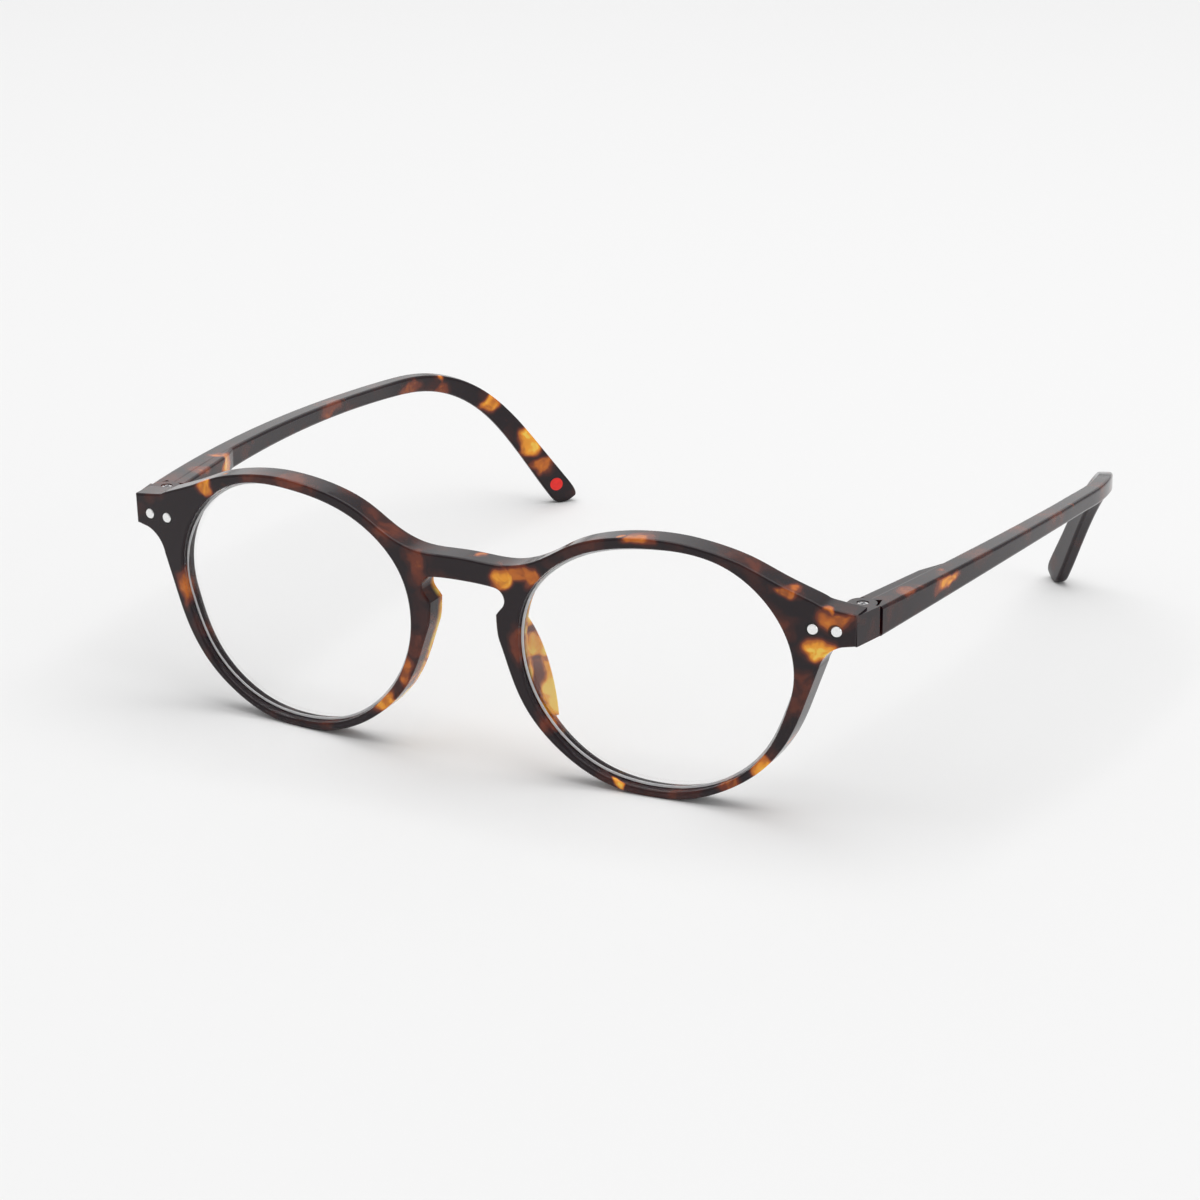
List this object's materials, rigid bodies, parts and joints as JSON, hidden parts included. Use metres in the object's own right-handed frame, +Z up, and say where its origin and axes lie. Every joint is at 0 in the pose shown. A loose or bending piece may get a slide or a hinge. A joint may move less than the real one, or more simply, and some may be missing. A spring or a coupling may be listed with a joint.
{
  "type": "reading glasses",
  "caption": "Round tortoiseshell reading glasses with a keyhole bridge, moulded nose pads, sprung screw hinges and temples that hook down and fold inwards.",
  "frame": {"origin": "middle of the glasses' footprint, on the table that they stand on", "axes": "+X to the wearer's left, +Y back along the temples, +Z up"},
  "size_m": [0.1514, 0.141, 0.0454],
  "materials": {
    "front_tortoise": "translucent brown tortoiseshell, satin gloss",
    "temple_tortoise": "translucent brown tortoiseshell, satin",
    "lens": "clear polished resin lens",
    "rivet_steel": "polished",
    "screw_steel": "bright",
    "hinge_steel": "satin",
    "spring_steel": "drawn wire",
    "insert_brass": "turned",
    "washer": "thin nylon",
    "marker": "plain red"
  },
  "bodies": {
    "front": {"frame_front": "front_tortoise", "left_lens": "lens", "left_hinge_screw": "screw_steel", "left_screw_insert": "insert_brass", "left_rivet_inner": "rivet_steel", "left_rivet_outer": "rivet_steel", "right_lens": "lens", "right_hinge_screw": "screw_steel", "right_screw_insert": "insert_brass", "right_rivet_inner": "rivet_steel", "right_rivet_outer": "rivet_steel", "left_hinge_washers": "washer", "right_hinge_washers": "washer"},
    "left_tongue": {"left_hinge_tongue": "hinge_steel", "left_spring_nut": "hinge_steel"},
    "left_arm": {"left_temple": "temple_tortoise", "left_spring_housing": "hinge_steel", "left_hinge_spring": "spring_steel"},
    "right_tongue": {"right_hinge_tongue": "hinge_steel", "right_spring_nut": "hinge_steel"},
    "right_arm": {"right_temple": "temple_tortoise", "right_spring_housing": "hinge_steel", "right_hinge_spring": "spring_steel", "marker_disc": "marker"}
  },
  "joints": [
    {"name": "left_fold", "type": "hinge", "parent": "front", "child": "left_tongue", "pos_m": [0.0666, -0.0578, 0.03364], "axis": [0, -0.0378, 0.9993], "range_deg": [-8, 86]},
    {"name": "left_draw", "type": "slide", "parent": "left_tongue", "child": "left_arm", "axis": [0.1616, 0.9861, 0.0373], "range_m": [0, 0.0005], "stiffness_N_per_m": 2000, "springref_m": -0.001},
    {"name": "right_fold", "type": "hinge", "parent": "front", "child": "right_tongue", "pos_m": [-0.0666, -0.0578, 0.03364], "axis": [0, 0.0378, -0.9993], "range_deg": [-8, 74]},
    {"name": "right_draw", "type": "slide", "parent": "right_tongue", "child": "right_arm", "axis": [-0.1616, 0.9861, 0.0373], "range_m": [0, 0.0005], "stiffness_N_per_m": 2000, "springref_m": -0.001}
  ]
}
